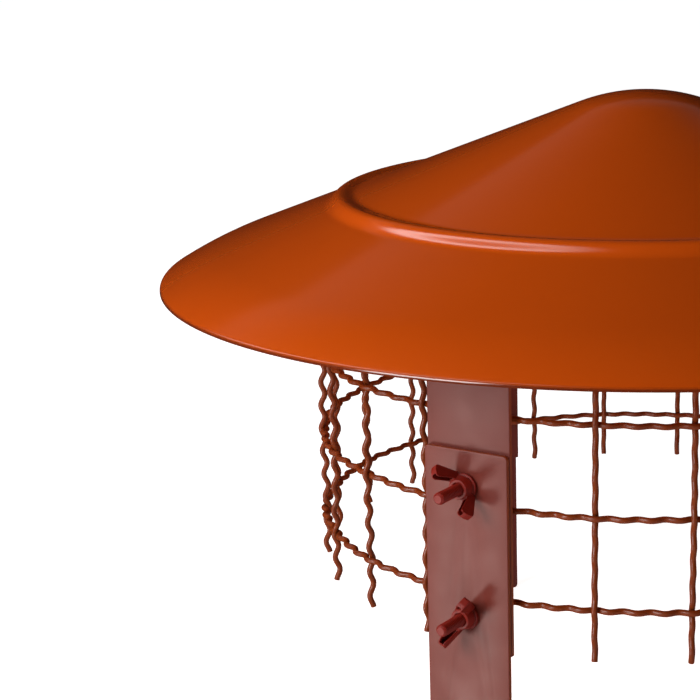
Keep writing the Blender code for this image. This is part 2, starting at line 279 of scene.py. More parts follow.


# %% The four coats
# The darker colour at the hood's lip is painted shade.
hood_coat = powder_coat(
    "hood_coat", (0.49, 0.064, 0.003), (0.45, 0.056, 0.002), (0.12, 0.15), peel=0.0012 * MM,
    peel_size=1.6 * MM, patch_size=60 * MM, edge=painted_lip_shade, painted_edge_shading=(0.10, 0.014, 0.003))
wire_coat = powder_coat(
    "wire_coat", (0.155, 0.026, 0.004), (0.105, 0.016, 0.002), (0.28, 0.40), peel=0.03 * MM,
    peel_size=0.9 * MM, patch_size=9 * MM, specular=0.3)
# The lighter orange on the cut edges of the legs and hangers is a painted highlight.
leg_coat = powder_coat(
    "leg_coat", (0.125, 0.014, 0.006), (0.105, 0.011, 0.005), (0.44, 0.54), peel=0.008 * MM,
    peel_size=0.7 * MM, patch_size=14 * MM, specular=0.45, edge=painted_bar_edge_light,
    painted_edge_shading=(0.19, 0.035, 0.006))
fastener_coat = powder_coat(
    "fastener_coat", (0.17, 0.008, 0.003), (0.13, 0.005, 0.002), (0.46, 0.54), peel=0.01 * MM,
    peel_size=0.5 * MM, patch_size=4 * MM, specular=0.3)
print("coats:", [material.name for material in (hood_coat, wire_coat, leg_coat, fastener_coat)])

# %% [markdown]
# ## The hood
#
# The real hood is one disc of sheet, spun over a former: a shallow cone, a rib pressed round
# it, a domed middle, a skirt that droops a little towards the rim and a small lip turned down
# there. All of that is one outline turned about Z. The outline is drawn as points, the Screw
# modifier turns it, and Solidify gives the sheet its thickness inwards. Corners of the outline
# are rounded by a running average, as spinning rounds them in the metal.

# %% Outline of the hood
SLOPE = tan(CONE_ANGLE)
SHEET = 1.2 * MM
RIB_OUTSIDE = 111.5 * MM
RIB_OUTER_FLANK = 4.7 * MM
RIB_INNER_FLANK = 6.8 * MM
RIB_HEIGHT = 2.5 * MM
CREASE_DROP = 0.7 * MM
DOME_RADIUS = 65 * MM
DROOP = 2.6 * MM
DROOP_REACH = 22 * MM
LIP_RADIUS = 1.3 * MM
LIP_EDGE = 0.275 * MM
RIM_SLOPE = atan(SLOPE + 2 * DROOP / DROOP_REACH)
LIP_DROP = LIP_EDGE + LIP_RADIUS * tan((pi / 2 - RIM_SLOPE) / 2)


def cone_height(radius):
    return RIM_HEIGHT + LIP_DROP + DROOP + (HOOD_RADIUS - radius) * SLOPE


def outer_height(radius):
    """Height of the hood's outer face, from the middle out to where the lip begins"""
    crown = RIB_OUTSIDE - RIB_OUTER_FLANK
    crease = crown - RIB_INNER_FLANK
    dome_edge = DOME_RADIUS * sin(CONE_ANGLE)
    if radius < dome_edge:
        dome_middle = cone_height(dome_edge) - CREASE_DROP - DOME_RADIUS * cos(CONE_ANGLE)
        return dome_middle + (DOME_RADIUS ** 2 - radius ** 2) ** 0.5
    if radius < crease:
        return cone_height(radius) - CREASE_DROP
    if radius < RIB_OUTSIDE:
        share = (radius - crown) / (RIB_OUTER_FLANK if radius > crown else RIB_INNER_FLANK)
        sunk = CREASE_DROP * (RIB_OUTSIDE - radius) / (RIB_OUTSIDE - crease)
        return cone_height(radius) - sunk + RIB_HEIGHT * (1 + cos(pi * share)) / 2
    drooped = max(0.0, radius - (HOOD_RADIUS - DROOP_REACH)) / DROOP_REACH
    return cone_height(radius) - DROOP * drooped ** 2


print("outer face in mm:",
      [round(outer_height(radius * MM) / MM, 1) for radius in (0, 23, 98, 107, 112, 148, 168)])

# %% Turn the hood
OUTLINE_STEP = 0.25 * MM
ROUNDING_REACH = 4
RIB_ZONE = (96 * MM, 114 * MM)
STRIDE_ON_RIB, STRIDE_ELSEWHERE = 2, 6
LIP_STEPS = 6
TURN_STEPS = 320


def rounded(heights, reach):
    """A running average that leaves straight stretches as they are"""
    result = []
    for i in range(len(heights)):
        span = min(reach, i, len(heights) - 1 - i)
        window = heights[i - span:i + span + 1]
        result.append(sum(window) / len(window))
    return result


def hood_outline():
    """Points (radius, height) from the middle of the outer face to the edge of the lip"""
    lip_start = HOOD_RADIUS - LIP_RADIUS * (1 - sin(RIM_SLOPE))
    radii = [i * OUTLINE_STEP for i in range(int(lip_start / OUTLINE_STEP) + 1)]
    heights = rounded([outer_height(radius) for radius in radii], ROUNDING_REACH)
    points = []
    i = 0
    while i < len(radii):
        points.append((radii[i], heights[i]))
        on_rib = RIB_ZONE[0] < radii[i] < RIB_ZONE[1]
        i += STRIDE_ON_RIB if on_rib else STRIDE_ELSEWHERE
    for k in range(LIP_STEPS + 1):
        angle = (pi / 2 - RIM_SLOPE) * (1 - k / LIP_STEPS)
        points.append((HOOD_RADIUS - LIP_RADIUS * (1 - cos(angle)),
                       RIM_HEIGHT + LIP_EDGE + LIP_RADIUS * sin(angle)))
    points.append((HOOD_RADIUS, RIM_HEIGHT))
    return points


def turned_hood():
    points = hood_outline()
    mesh = bpy.data.meshes.new("hood_outline")
    mesh.from_pydata([(radius, 0, height) for radius, height in points],
                     [(k, k + 1) for k in range(len(points) - 1)], [])
    obj = link_object("hood_turning", mesh)
    screw = obj.modifiers.new("Turn", 'SCREW')
    screw.steps = screw.render_steps = TURN_STEPS
    screw.use_merge_vertices = True
    screw.merge_threshold = 0.01 * MM
    wall = obj.modifiers.new("Sheet", 'SOLIDIFY')
    wall.thickness = SHEET
    wall.offset = -1
    return plain_mesh(obj, "hood_spun")


hood = link_object("hood_spun", smooth(turned_hood(), 50), hood_coat)
dress(hood, "hood_coat", "hood")

# %% [markdown]
# ## The wire guard
#
# The guard is woven from wire that was crimped into even waves first, so that every wire nests
# over and under the ones it crosses. Such a wire follows a rule: its distance from the axis is
# the guard's radius plus a cosine of its length. Geometry Nodes put that rule on 24 uprights
# at once, and then sweep a small circle along each. The numbers that shape the wires are named
# inputs of the tree, which the script fills in before the modifier is first evaluated.

# %% Helpers for trees with named inputs
def new_tree(name, inputs):
    """A Geometry Nodes tree with named inputs, each given as name: kind of socket"""
    tree = bpy.data.node_groups.new(name, 'GeometryNodeTree')
    tree.interface.new_socket(name="Geometry", in_out='INPUT', socket_type='NodeSocketGeometry')
    for label, kind in inputs.items():
        tree.interface.new_socket(name=label, in_out='INPUT', socket_type='NodeSocket' + kind)
    tree.interface.new_socket(name="Geometry", in_out='OUTPUT', socket_type='NodeSocketGeometry')
    return tree, tree.nodes.new("NodeGroupInput"), tree.nodes.new("NodeGroupOutput")


def run_tree(name, tree, values, base=None):
    """Runs a tree on an object with named input values and returns the result as a plain mesh"""
    obj = link_object(name, base or bpy.data.meshes.new(name))
    modifier = obj.modifiers.new("Nodes", 'NODES')
    modifier.node_group = tree
    identifiers = {item.name: item.identifier for item in tree.interface.items_tree
                   if item.in_out == 'INPUT'}
    for label, value in values.items():
        modifier[identifiers[label]] = value
    return plain_mesh(obj, name)


def stored(tree, name, kind):
    """The output that reads a named attribute"""
    return joined(tree, "GeometryNodeInputNamedAttribute", {"Name": name},
                  data_type=kind).outputs[0]


def finished(tree, given, geometry, closing):
    """Makes the geometry real, gives it its coat and hands it to the tree's output"""
    real = joined(tree, "GeometryNodeRealizeInstances", {0: geometry})
    coated = joined(tree, "GeometryNodeSetMaterial",
                    {"Geometry": real.outputs[0], "Material": given.outputs["Coat"]})
    tree.links.new(coated.outputs[0], closing.inputs[0])


WIRE_INPUTS = {
    "Count": 'Int', "Points": 'Int', "Guard Radius": 'Float', "Weave": 'Float',
    "First Angle": 'Float', "First Ring": 'Float', "Ring Pitch": 'Float', "Half Waves": 'Float',
    "Crimp Share": 'Float', "Top": 'Float', "Bottom": 'Float', "Uprights": 'Int',
    "Wander": 'Float', "Seed": 'Int', "Wire Radius": 'Float', "Sides": 'Int', "Coat": 'Material'}

# %% Parts that both wire trees share
def numbered_copies(tree, given, line):
    """Copies of one curve, each with its own number stored on it, as real geometry"""
    points = joined(tree, "GeometryNodePoints", {"Count": given.outputs["Count"]})
    copies = joined(tree, "GeometryNodeInstanceOnPoints",
                    {"Points": points.outputs[0], "Instance": line})
    index = tree.nodes.new("GeometryNodeInputIndex")
    numbered = joined(tree, "GeometryNodeStoreNamedAttribute",
                      {"Geometry": copies.outputs[0], "Name": "number", "Value": index.outputs[0]},
                      data_type='INT', domain='INSTANCE')
    return joined(tree, "GeometryNodeRealizeInstances", {0: numbered.outputs[0]}).outputs[0]


def swept(tree, given, curve, closing):
    """Sweeps the wire's round section along the curve"""
    section = joined(tree, "GeometryNodeCurvePrimitiveCircle",
                     {"Resolution": given.outputs["Sides"], "Radius": given.outputs["Wire Radius"]})
    tube = joined(tree, "GeometryNodeCurveToMesh",
                  {"Curve": curve, "Profile Curve": section.outputs[0], "Fill Caps": True})
    round_look = joined(tree, "GeometryNodeSetShadeSmooth", {0: tube.outputs[0]})
    finished(tree, given, round_look.outputs[0], closing)


def wander(tree, given, number, along, rate):
    """A small slow drift of a wire, different for each and the same on every run"""
    drawn = joined(tree, "FunctionNodeRandomValue",
                   {"Seed": given.outputs["Seed"], "ID": number}, data_type='FLOAT')
    phase = calc(tree, 'MULTIPLY', drawn.outputs[1], 2 * pi)
    turn = calc(tree, 'SINE', calc(tree, 'ADD', calc(tree, 'MULTIPLY', along, rate), phase))
    return calc(tree, 'MULTIPLY', turn, given.outputs["Wander"])


def crimp(tree, given, beat, sign):
    """Waves of a wire: one slow swing from crossing to crossing with quicker crimps on top"""
    quick = calc(tree, 'COSINE', calc(tree, 'MULTIPLY', beat, given.outputs["Half Waves"]))
    share = given.outputs["Crimp Share"]
    slow = calc(tree, 'MULTIPLY', calc(tree, 'COSINE', beat), calc(tree, 'SUBTRACT', 1.0, share))
    swing = calc(tree, 'MULTIPLY_ADD', quick, share, slow)
    return calc(tree, 'MULTIPLY', calc(tree, 'MULTIPLY', swing, sign), given.outputs["Weave"])


def round_the_axis(tree, given, wires, wave, angle, height):
    """Sets each point of the wires at its angle and height, a wave away from the guard's radius"""
    radius = calc(tree, 'ADD', given.outputs["Guard Radius"], wave)
    spot = joined(tree, "ShaderNodeCombineXYZ",
                  {0: calc(tree, 'MULTIPLY', radius, calc(tree, 'COSINE', angle)),
                   1: calc(tree, 'MULTIPLY', radius, calc(tree, 'SINE', angle)), 2: height})
    return joined(tree, "GeometryNodeSetPosition",
                  {"Geometry": wires, "Position": spot.outputs[0]}).outputs[0]


# %% The upright wires
def upright_tree():
    tree, given, closing = new_tree("crimped_uprights", WIRE_INPUTS)
    line = joined(tree, "GeometryNodeCurvePrimitiveLine", {"Start": (0, 0, 0), "End": (0, 0, 1)})
    fine = joined(tree, "GeometryNodeResampleCurve",
                  {"Curve": line.outputs[0], "Count": given.outputs["Points"]})
    wires = numbered_copies(tree, given, fine.outputs[0])
    number = stored(tree, "number", 'INT')
    place = tree.nodes.new("GeometryNodeInputPosition")
    along = joined(tree, "ShaderNodeSeparateXYZ", {0: place.outputs[0]}).outputs["Z"]
    length = calc(tree, 'SUBTRACT', given.outputs["Top"], given.outputs["Bottom"])
    height = calc(tree, 'MULTIPLY_ADD', along, length, given.outputs["Bottom"])
    turn = calc(tree, 'DIVIDE', calc(tree, 'MULTIPLY', number, 2 * pi), given.outputs["Count"])
    angle = calc(tree, 'ADD', turn, given.outputs["First Angle"])
    odd = calc(tree, 'MODULO', number, 2.0)
    sign = calc(tree, 'SUBTRACT', 1.0, calc(tree, 'MULTIPLY', odd, 2.0))
    down = calc(tree, 'DIVIDE', calc(tree, 'SUBTRACT', given.outputs["First Ring"], height),
                given.outputs["Ring Pitch"])
    wave = crimp(tree, given, calc(tree, 'MULTIPLY', down, pi), sign)
    drift = calc(tree, 'DIVIDE', wander(tree, given, number, along, 4.0),
                 given.outputs["Guard Radius"])
    woven = round_the_axis(tree, given, wires, wave, calc(tree, 'ADD', angle, drift), height)
    swept(tree, given, woven, closing)
    return tree


wire_sizes = {"Guard Radius": GUARD_RADIUS, "Weave": WEAVE, "First Angle": FIRST_UPRIGHT,
              "First Ring": RING_HEIGHTS[0], "Ring Pitch": RING_PITCH, "Half Waves": 7.0,
              "Crimp Share": 0.7, "Top": upright_high.z, "Bottom": upright_low.z,
              "Uprights": UPRIGHT_COUNT, "Wire Radius": WIRE / 2, "Sides": 12, "Coat": wire_coat}
uprights = link_object("upright_wires", run_tree("upright_wires", upright_tree(), {
    **wire_sizes, "Count": UPRIGHT_COUNT, "Points": 150, "Wander": 0.25 * MM, "Seed": 3}))
dress(uprights, "wire_coat", *[f"upright_wire_{number + 1:02d}" for number in range(UPRIGHT_COUNT)])

# %% [markdown]
# The ring wires follow the same rule the other way about: a ring is inside where an upright is
# outside. Its waves have to close on themselves, which they do because a whole number of them
# fits round the guard. Its slow drift closes too, because it swings three whole times.

# %% The ring wires
def ring_tree():
    tree, given, closing = new_tree("crimped_rings", WIRE_INPUTS)
    circle = joined(tree, "GeometryNodeCurvePrimitiveCircle",
                    {"Resolution": given.outputs["Points"], "Radius": 1.0})
    wires = numbered_copies(tree, given, circle.outputs[0])
    number = stored(tree, "number", 'INT')
    place = tree.nodes.new("GeometryNodeInputPosition")
    parts = joined(tree, "ShaderNodeSeparateXYZ", {0: place.outputs[0]})
    angle = calc(tree, 'ARCTAN2', parts.outputs["Y"], parts.outputs["X"])
    from_first = calc(tree, 'SUBTRACT', angle, given.outputs["First Angle"])
    turns = calc(tree, 'DIVIDE', from_first, 2 * pi)
    beat = calc(tree, 'MULTIPLY', calc(tree, 'MULTIPLY', turns, given.outputs["Uprights"]), pi)
    odd = calc(tree, 'MODULO', number, 2.0)
    sign = calc(tree, 'SUBTRACT', calc(tree, 'MULTIPLY', odd, 2.0), 1.0)
    wave = crimp(tree, given, beat, sign)
    drop = calc(tree, 'MULTIPLY', number, given.outputs["Ring Pitch"])
    level = calc(tree, 'SUBTRACT', given.outputs["First Ring"], drop)
    height = calc(tree, 'ADD', level, wander(tree, given, number, angle, 3.0))
    swept(tree, given, round_the_axis(tree, given, wires, wave, angle, height), closing)
    return tree


rings = link_object("ring_wires", run_tree("ring_wires", ring_tree(), {
    **wire_sizes, "Count": RING_COUNT, "Points": 1008, "Wander": 0.2 * MM, "Seed": 8}))
dress(rings, "wire_coat", *[f"ring_wire_{ring + 1}" for ring in range(RING_COUNT)])

# %% [markdown]
# ## Hangers and legs
#
# Both are cut from flat bar 30 mm wide. A leg is a flat plate, so a flat curve with holes in
# it is enough: the curve is filled, given a thickness, and its bevel rounds every edge as the
# coat does.

# %% The clamp legs
BAR_WIDTH = 30 * MM
BAR_CORNER = 1.5 * MM
CORNER_POINTS = 8
EDGE = 0.3 * MM
HOLE_RADIUS = 2.3 * MM
HOLE_SIDES = 32
bolt_heights = [(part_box(f"bolt_1_{place}")[0].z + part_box(f"bolt_1_{place}")[1].z) / 2
                for place in ("upper", "lower")]


def arc(x, y, radius, count, start=0, sweep=2 * pi):
    """Points on an arc round (x, y); the last one stays one step short of the sweep"""
    angles = [start + sweep * i / count for i in range(count)]
    return [(x + radius * cos(angle), y + radius * sin(angle)) for angle in angles]


def leg_mesh():
    side = BAR_WIDTH / 2 - BAR_CORNER
    top, bottom = leg_high.z - BAR_CORNER, leg_low.z + BAR_CORNER
    quarter = pi / 2 * CORNER_POINTS / (CORNER_POINTS - 1)
    outline = []
    for number, (x, y) in enumerate(((side, top), (-side, top), (-side, bottom), (side, bottom))):
        outline += arc(x, y, BAR_CORNER, CORNER_POINTS, number * pi / 2, quarter)
    curve = bpy.data.curves.new("leg_blank", 'CURVE')
    curve.dimensions = '2D'
    curve.fill_mode = 'BOTH'
    curve.extrude = (leg_high.y - leg_low.y) / 2 - EDGE
    curve.bevel_depth = EDGE
    curve.bevel_resolution = 2
    curve.offset = -EDGE
    for loop in (outline, *[arc(0, height, HOLE_RADIUS, HOLE_SIDES) for height in bolt_heights]):
        spline = curve.splines.new('POLY')
        spline.points.add(len(loop) - 1)
        for point, (x, y) in zip(spline.points, loop):
            point.co = (x, y, 0, 1)
        spline.use_cyclic_u = True
    mesh = plain_mesh(link_object("leg_blank", curve), "clamp_leg")
    bpy.data.curves.remove(curve)
    mesh.transform(Matrix.Translation((0, (leg_low.y + leg_high.y) / 2, 0))
                   @ Matrix.Rotation(pi / 2, 4, 'X'))
    return smooth(weld(mesh), 50)


def set_round(blank, name, node):
    """One copy of a bar for each leg, turned about the axis"""
    for number in range(LEG_COUNT):
        mesh = blank.copy()
        mesh.transform(Matrix.Rotation(2 * pi * number / LEG_COUNT, 4, 'Z'))
        bar = link_object(f"{name}_{number + 1}", mesh, leg_coat)
        dress(bar, "leg_coat", f"{node}_{number + 1}")


set_round(leg_mesh(), "leg_plate", "clamp_leg")

# %% [markdown]
# A hanger has a bend at the top, where its flange runs along the underside of the hood. Its
# middle line is drawn as a path of straight, arc and straight. The path is drawn out sideways
# to a strip, thickened, drilled, and its edges are bevelled.

# %% The hangers
HANGER_THICKNESS = 1.6 * MM
HANGER_BEND = 3.8 * MM
BEND_STEPS = 24


def hanger_path():
    """Points (radius, height) of the middle line, from the lower end to the flange's end"""
    points = [vertex.co for vertex in frame["nodes"]["hanger_1"].data.vertices]
    middle = -max(point.y for point in points) + HANGER_THICKNESS / 2
    top = max(point.z for point in points)
    centre = Vector((middle + HANGER_BEND, top - HANGER_THICKNESS / 2 - HANGER_BEND))
    path = [(middle, hanger_low.z), (middle, (hanger_low.z + centre.y) / 2)]
    for i in range(BEND_STEPS + 1):
        angle = pi - (pi / 2 + CONE_ANGLE) * i / BEND_STEPS
        path.append((centre.x + HANGER_BEND * cos(angle), centre.y + HANGER_BEND * sin(angle)))
    flange_end = -min(point.y for point in points) - HANGER_THICKNESS / 2 * sin(CONE_ANGLE)
    run = (flange_end - path[-1][0]) / cos(CONE_ANGLE)
    path.append((path[-1][0] + run * cos(CONE_ANGLE), path[-1][1] - run * sin(CONE_ANGLE)))
    return path


def hanger_mesh():
    path = hanger_path()
    mesh = bpy.data.meshes.new("hanger_strip")
    mesh.from_pydata([(-BAR_WIDTH / 2, -radius, height) for radius, height in path],
                     [(i, i + 1) for i in range(len(path) - 1)], [])
    bm = bmesh.new()
    bm.from_mesh(mesh)
    drawn = bmesh.ops.extrude_edge_only(bm, edges=bm.edges)
    moved = [item for item in drawn["geom"] if isinstance(item, bmesh.types.BMVert)]
    bmesh.ops.translate(bm, verts=moved, vec=(BAR_WIDTH, 0, 0))
    bm.to_mesh(mesh)
    bm.free()
    strip = link_object("hanger_strip", mesh)
    thick = strip.modifiers.new("Thickness", 'SOLIDIFY')
    thick.thickness = HANGER_THICKNESS
    thick.offset = 0
    thick.use_even_offset = True
    drills = []
    for height in bolt_heights:
        drill = solid("drill", cylinder(HOLE_RADIUS / MM, HOLE_RADIUS / MM, -8, 8, HOLE_SIDES))
        drill.data.transform(Matrix.Translation((0, -path[0][0], height))
                             @ Matrix.Rotation(pi / 2, 4, 'X'))
        drills.append(drill)
        hole = strip.modifiers.new("Hole", 'BOOLEAN')
        hole.operation = 'DIFFERENCE'
        hole.solver = 'EXACT'
        hole.object = drill
    edges = strip.modifiers.new("Edges", 'BEVEL')
    edges.width = EDGE
    edges.segments = 3
    edges.limit_method = 'ANGLE'
    edges.angle_limit = radians(60)
    mesh = plain_mesh(strip, "hanger")
    for drill in drills:
        bpy.data.objects.remove(drill, do_unlink=True)
    return smooth(weld(mesh), 40)


hanger_blank = hanger_mesh()
set_round(hanger_blank, "hanger_strap", "hanger")
print("hanger in the frame:", [round(value / MM, 2) for value in (*hanger_low, *hanger_high)])
made = [pick(vertex.co[axis] for vertex in hanger_blank.vertices)
        for pick in (min, max) for axis in range(3)]
print("hanger made here:   ", [round(value / MM, 2) for value in made])

# %% [markdown]
# ## Bolts and wing nuts
#
# A bolt is made along Z. Its thread is a rim of points whose radius rises and falls with the
# height, and each point round the rim is a little further along than the one before. The head
# is a short six-sided cylinder with its edges bevelled.

# %% One threaded bolt
BOLT_LENGTH = 20 * MM
BOLT_RADIUS = 2 * MM
BOLT_SIDES = 24
BOLT_CHAMFER = 0.7 * MM
BOLT_IN_HEAD = 1 * MM
THREAD_PITCH = 0.7 * MM
THREAD_DEPTH = 0.2 * MM
ROWS_PER_TURN = 6
HEAD_ACROSS_FLATS = 7 * MM
HEAD_THICKNESS = 2.8 * MM
HEAD_CHAMFER = 0.35 * MM


def draw_shank(bm):
    step = THREAD_PITCH / ROWS_PER_TURN
    rims = []
    for row in range(int((BOLT_LENGTH + BOLT_IN_HEAD) / step) + 1):
        height = -BOLT_IN_HEAD + row * step
        rim = []
        for side in range(BOLT_SIDES):
            angle = 2 * pi * side / BOLT_SIDES
            beat = (height / THREAD_PITCH - side / BOLT_SIDES) % 1.0
            depth = THREAD_DEPTH * abs(2 * beat - 1)
            chamfer = max(0.0, height - (BOLT_LENGTH - BOLT_CHAMFER))
            radius = min(BOLT_RADIUS - depth, BOLT_RADIUS - chamfer)
            rim.append(bm.verts.new((radius * cos(angle), radius * sin(angle),
                                     min(height, BOLT_LENGTH))))
        rims.append(rim)
    for low, high in zip(rims, rims[1:]):
        for side in range(BOLT_SIDES):
            after = (side + 1) % BOLT_SIDES
            bm.faces.new((low[side], low[after], high[after], high[side]))
    bm.faces.new(list(reversed(rims[0])))
    bm.faces.new(rims[-1])


def bolt_mesh():
    """Threaded shank up +Z with a hexagon head below z = 0, both chamfered"""
    bm = bmesh.new()
    draw_shank(bm)
    head = bmesh.new()
    corner = HEAD_ACROSS_FLATS / cos(pi / 6) / 2
    bmesh.ops.create_cone(head, cap_ends=True, segments=6, radius1=corner, radius2=corner,
                          depth=HEAD_THICKNESS,
                          matrix=Matrix.Translation((0, 0, -HEAD_THICKNESS / 2)))
    bmesh.ops.bevel(head, geom=head.edges[:], offset=HEAD_CHAMFER, segments=2, affect='EDGES',
                    profile=0.6)
    head_mesh = bpy.data.meshes.new("bolt_head")
    head.to_mesh(head_mesh)
    bm.from_mesh(head_mesh)
    mesh = bpy.data.meshes.new("bolt")
    bm.to_mesh(mesh)
    head.free()
    bm.free()
    bpy.data.meshes.remove(head_mesh)
    return smooth(mesh, 40)


# %% [markdown]
# The wing nuts are pressed from sheet: a round collar on a flange, and two hollow wings folded
# from the same blank, each open along the side that faces away from the leg. The easiest way
# to such soft, thick shapes is to put plain blocks together, remesh them into one skin of
# small voxels and smooth it, as pressing rounds every edge.

# %% One wing nut
NUT_PARTS = {"flange": (4.3, 4.3, 0.0, 1.0), "neck": (3.6, 3.4, 0.9, 1.7),
             "hub": (3.9, 3.2, 1.6, 4.6)}
NUT_BORE = (2.15, 2.15, -5, 9)
WING_SIDE = [(2.6, 0.8), (4.9, 0.5), (9.6, 6.6), (9.9, 7.6), (8.6, 9.3), (7.0, 10.4), (6.2, 10.0),
             (3.8, 4.2), (2.6, 3.8)]
WING_SLOT = [(4.3, 3.3), (6.2, 3.8), (8.9, 7.3), (7.9, 9.0), (6.9, 11.5), (5.6, 11.5), (3.3, 4.6)]
WING_THICKNESS, SLOT_WIDTH = 2.5, 1.5
VOXEL = 0.14 * MM


def slab(bm, outline, thickness):
    """A flat block standing in the XZ plane, from its outline in millimetres"""
    sides = [[bm.verts.new((x * MM, y * thickness / 2 * MM, z * MM)) for x, z in outline]
             for y in (-1, 1)]
    bm.faces.new(sides[0])
    bm.faces.new(list(reversed(sides[1])))
    count = len(outline)
    for i in range(count):
        after = (i + 1) % count
        bm.faces.new((sides[0][after], sides[0][i], sides[1][i], sides[1][after]))


def nut_mesh():
    pieces = [solid(name, cylinder(*sizes)) for name, sizes in NUT_PARTS.items()]
    cuts = [solid("bore", cylinder(*NUT_BORE))]
    for side in (0, 1):
        for outline, thickness, group in ((WING_SIDE, WING_THICKNESS, pieces),
                                          (WING_SLOT, SLOT_WIDTH, cuts)):
            part = solid("wing", lambda bm: slab(bm, outline, thickness))
            part.data.transform(Matrix.Rotation(pi * side, 4, 'Z'))
            group.append(part)
    base = pieces.pop(0)
    for operation, group in (('UNION', pieces), ('DIFFERENCE', cuts)):
        for part in group:
            step = base.modifiers.new(operation.title(), 'BOOLEAN')
            step.operation = operation
            step.solver = 'EXACT'
            step.object = part
    skin = base.modifiers.new("Skin", 'REMESH')
    skin.mode = 'VOXEL'
    skin.voxel_size = VOXEL
    soft = base.modifiers.new("Soft", 'SMOOTH')
    soft.iterations = 6
    fewer = base.modifiers.new("Fewer", 'DECIMATE')
    fewer.ratio = 0.22
    mesh = plain_mesh(base, "wing_nut")
    for part in pieces + cuts:
        bpy.data.objects.remove(part, do_unlink=True)
    mesh.shade_smooth()
    mesh.calc_loop_triangles()
    print("one wing nut:", len(mesh.loop_triangles), "triangles")
    return mesh


# %% [markdown]
# Geometry Nodes set the bolt and the nut out on the six bolt holes. Each hole is a point that
# carries two numbers: which way its leg faces, and how far its nut is turned. The tree turns
# those into a rotation for the copy.

# %% Points for the six bolts
NUT_TURNS = {"upper": (131, 40, 152), "lower": (62, 118, 84)}


def seats(distance, turned):
    """A mesh of points on the bolt axes, each with its leg's facing and its own turn"""
    mesh = bpy.data.meshes.new("seats")
    points, facing, turns = [], [], []
    for number in range(LEG_COUNT):
        around = 2 * pi * number / LEG_COUNT
        for place, height in zip(("upper", "lower"), bolt_heights):
            points.append((distance * sin(around), -distance * cos(around), height))
            facing.append(around)
            turns.append(radians(NUT_TURNS[place][number]) if turned else 0.0)
    mesh.from_pydata(points, [], [])
    for name, values in (("facing", facing), ("turn", turns)):
        mesh.attributes.new(name, 'FLOAT', 'POINT').data.foreach_set("value", values)
    return mesh


def fastener_tree():
    tree, given, closing = new_tree("set_out_fasteners", {"Fastener": 'Object', "Coat": 'Material'})
    lying = joined(tree, "ShaderNodeCombineXYZ",
                   {0: pi / 2, 1: 0.0, 2: stored(tree, "facing", 'FLOAT')})
    outwards = joined(tree, "FunctionNodeEulerToRotation", {0: lying.outputs[0]})
    own = joined(tree, "FunctionNodeAxisAngleToRotation",
                 {"Axis": (0, 0, 1), "Angle": stored(tree, "turn", 'FLOAT')})
    turned = joined(tree, "FunctionNodeRotateRotation",
                    {"Rotation": outwards.outputs[0], "Rotate By": own.outputs[0]},
                    rotation_space='LOCAL')
    model = joined(tree, "GeometryNodeObjectInfo", {"Object": given.outputs["Fastener"]})
    copies = joined(tree, "GeometryNodeInstanceOnPoints",
                    {"Points": given.outputs["Geometry"], "Instance": model.outputs["Geometry"],
                     "Rotation": turned.outputs[0]})
    finished(tree, given, copies.outputs[0], closing)
    return tree


# %% Set out the bolts and the nuts
setting_out = fastener_tree()
FASTENERS = [("bolt", "hex_bolts", bolt_mesh(), -hanger_high.y - GAP, False),
             ("wing_nut", "wing_nuts", nut_mesh(), -leg_low.y + GAP, True)]
for node, name, mesh, distance, turned in FASTENERS:
    model = link_object(node + "_model", mesh)
    placed = run_tree(name, setting_out, {"Fastener": model, "Coat": fastener_coat},
                      seats(distance, turned))
    bpy.data.objects.remove(model, do_unlink=True)
    dress(link_object(name, placed), "fastener_coat",
          *[f"{node}_{number + 1}_{place}"
            for number in range(LEG_COUNT) for place in ("upper", "lower")])

# %% [markdown]
# ## Camera, floor and light
#
# The camera was solved from the photograph: the rim's ellipse, the crossings of the guard and
# the hood's outline fix its place, its turn and its lens. It looks at the axis from a distance,
# turned a little aside, down and over, and the whole stand is then turned about the axis.

# %% Camera
TURN = radians(26.967)
YAW, PITCH, ROLL = radians(8.301), radians(13.686), radians(-1.750)
CAMERA_DISTANCE, CAMERA_HEIGHT, LENS = 721.4 * MM, 307.4 * MM, 106.2


def camera_matrix():
    forward = Vector((-sin(YAW) * cos(PITCH), cos(YAW) * cos(PITCH), -sin(PITCH)))
    level = Vector((cos(YAW), sin(YAW), 0))
    upward = level.cross(forward)
    across = cos(ROLL) * level + sin(ROLL) * upward
    above = -sin(ROLL) * level + cos(ROLL) * upward
    axes = Matrix((across, above, -forward)).transposed().to_4x4()
    return (Matrix.Rotation(TURN, 4, 'Z')
            @ Matrix.Translation((0, -CAMERA_DISTANCE, CAMERA_HEIGHT)) @ axes)


camera_data = bpy.data.cameras.new("camera")
camera_data.sensor_width = 36
camera_data.lens = LENS
camera = link_object("camera", camera_data)
camera.matrix_world = camera_matrix()
bpy.context.scene.camera = camera
print("camera at", [round(value / MM, 1) for value in camera.matrix_world.translation], "mm")

# %% [markdown]
# The floor is plain and pale. It glows a little, and more so away from the middle, so that it
# runs into the backdrop without a horizon. The backdrop is a round wall that only the camera
# sees: it throws no light and shows in no reflection. The world itself is almost dark, which
# leaves the lighting to the lamps.

# %% Floor and surroundings
BACKDROP_RADIUS, BACKDROP_HEIGHT, BACKDROP_SIDES = 9.0, 9.0, 48
FLOOR_HALF = 1.5 * BACKDROP_RADIUS


def plain_material(name, color, roughness, glow=0.0):
    """A material of one colour with a white glow, then its tree and the socket of its glow"""
    material = bpy.data.materials.new(name)
    material.use_nodes = True
    shader = material.node_tree.nodes["Principled BSDF"]
    shader.inputs["Base Color"].default_value = (*color, 1)
    shader.inputs["Roughness"].default_value = roughness
    shader.inputs["Emission Color"].default_value = (1, 1, 1, 1)
    shader.inputs["Emission Strength"].default_value = glow
    return material, material.node_tree, shader.inputs["Emission Strength"]


